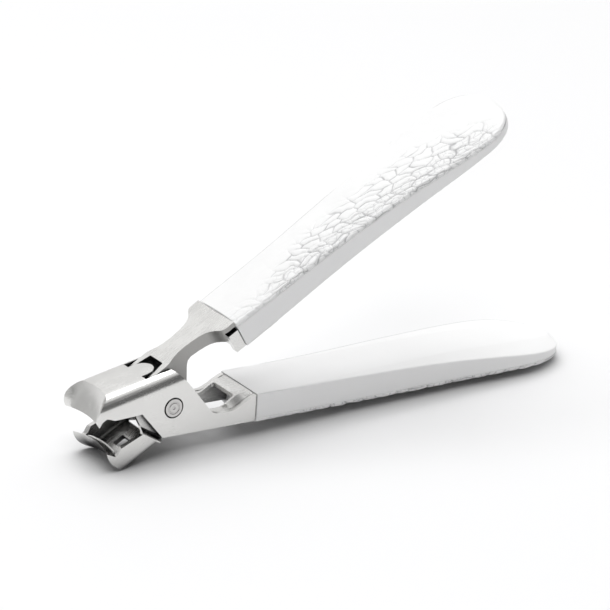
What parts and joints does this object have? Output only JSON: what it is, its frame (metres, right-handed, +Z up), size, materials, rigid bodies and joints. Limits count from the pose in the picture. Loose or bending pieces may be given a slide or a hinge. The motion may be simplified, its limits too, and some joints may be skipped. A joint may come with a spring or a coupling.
{
  "type": "nail clipper",
  "caption": "Plier-style nail clipper: pressed-steel jaws crossing on one sprung pivot, with long leather-look padded handles.",
  "frame": {"origin": "bottom centre of the whole tool's box, standing as it rests: on the lower jaw's floor and the belly of the lower handle", "axes": "+X runs from the jaws to the handle ends, +Y across the tool along the pivot pin, +Z up"},
  "size_m": [0.118, 0.0224, 0.061],
  "materials": {
    "jaw_steel": "satin stainless, fine brushed grain along the tool, polished cutting bevels",
    "lever_steel": "brushed stainless, a little darker than the jaws",
    "pivot_steel": "turned and polished steel",
    "spring_steel": "drawn spring wire",
    "grip_plastic": "white moulded plastic, satin",
    "core_plastic": "plain moulded filler, hidden",
    "grip_skin": "white imitation leather with an embossed crackle"
  },
  "bodies": {
    "root": {"upper_jaw_housing": "jaw_steel", "lower_handle_frame": "lever_steel", "pivot_barrel": "pivot_steel", "pivot_rivet": "pivot_steel", "pivot_sleeve": "pivot_steel", "pivot_washer_near": "pivot_steel", "pivot_washer_far": "pivot_steel", "return_spring": "spring_steel", "lower_grip_shell": "grip_plastic", "lower_grip_skin": "grip_skin", "lower_grip_core": "core_plastic"},
    "lever": {"lower_jaw": "jaw_steel", "upper_lever": "lever_steel", "upper_handle_frame": "lever_steel", "return_spring_arm": "spring_steel", "upper_grip_shell": "grip_plastic", "upper_grip_skin": "grip_skin", "upper_grip_core": "core_plastic"}
  },
  "joints": [
    {"name": "lever_pivot", "type": "hinge", "parent": "root", "child": "lever", "pos_m": [-0.04086, 0, 0.01128], "axis": [0, 1, 0], "range_deg": [0, 20.8], "stiffness_Nm_per_rad": 0.35, "springref_deg": -22.92}
  ]
}
